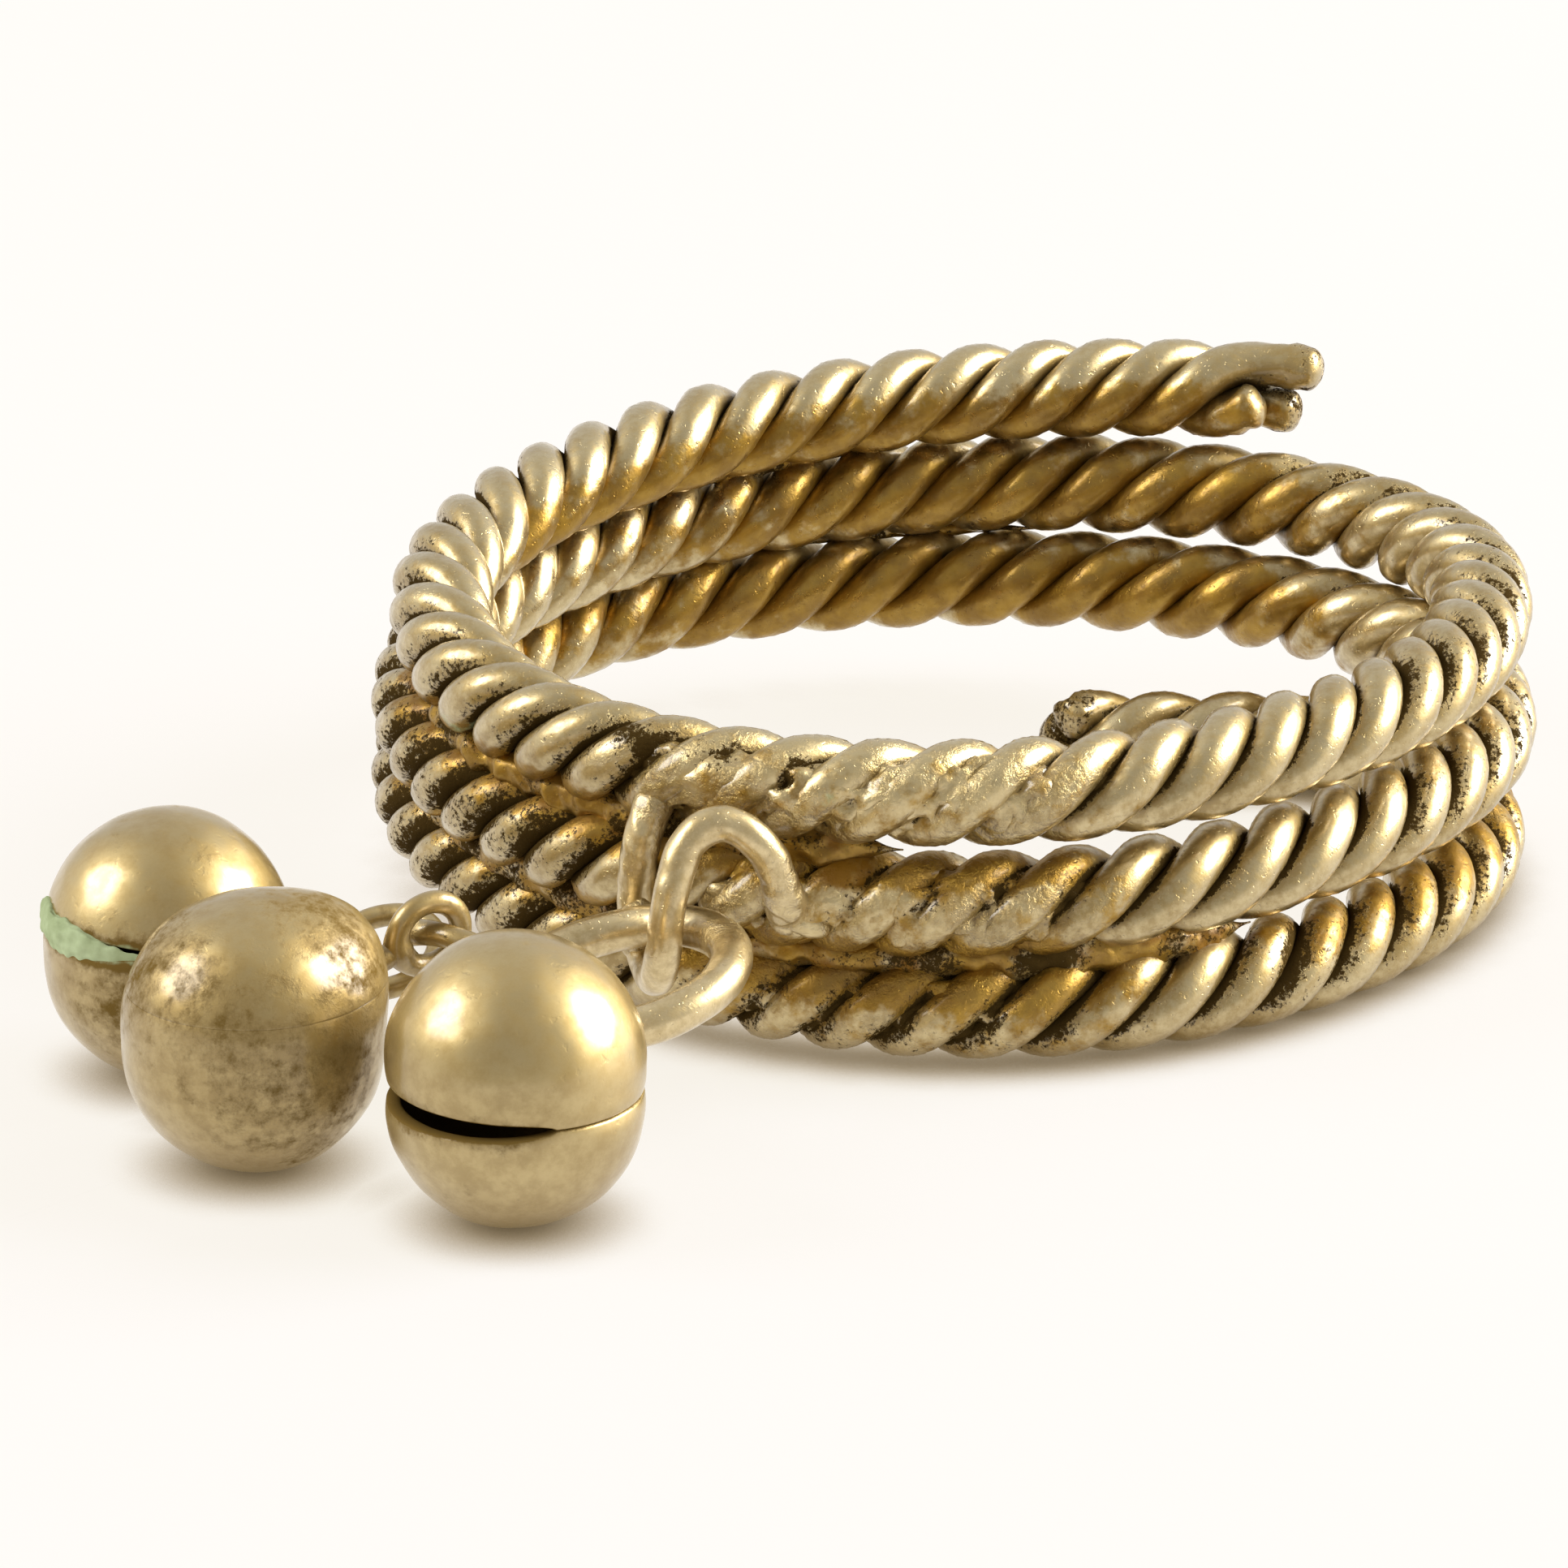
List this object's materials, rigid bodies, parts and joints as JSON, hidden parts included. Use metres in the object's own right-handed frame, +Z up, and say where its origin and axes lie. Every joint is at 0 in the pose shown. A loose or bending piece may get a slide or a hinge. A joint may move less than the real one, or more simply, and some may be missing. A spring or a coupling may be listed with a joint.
{
  "type": "finger ring of coiled twisted wire with small bells",
  "caption": "Coiled finger ring of twisted wire with a soldered bail, a jump ring and small round slit bells hanging from it.",
  "frame": {"origin": "on the axis of the finger hole, at the height of the floor that the ring lies on", "axes": "+Z up along the axis of the finger hole, -Y towards the side that the bells hang on, +X to the right as seen from there"},
  "size_m": [0.0283, 0.0317, 0.0074],
  "materials": {
    "twisted_wire": "aged pale nickel brass, polished on the ridges, black and amber tarnish in the grooves",
    "bright_wire": "worn bright pale brass wire",
    "dull_wire": "dull tarnished pale brass wire",
    "bell_metal": "satin pale brass sheet, mottled brown, green crust in one seam"
  },
  "bodies": {
    "root": {"band": "twisted_wire", "jump_ring": "bright_wire", "link_ring": "dull_wire", "bell_front": "bell_metal", "bell_middle": "bell_metal", "bell_rear": "bell_metal"}
  },
  "joints": []
}
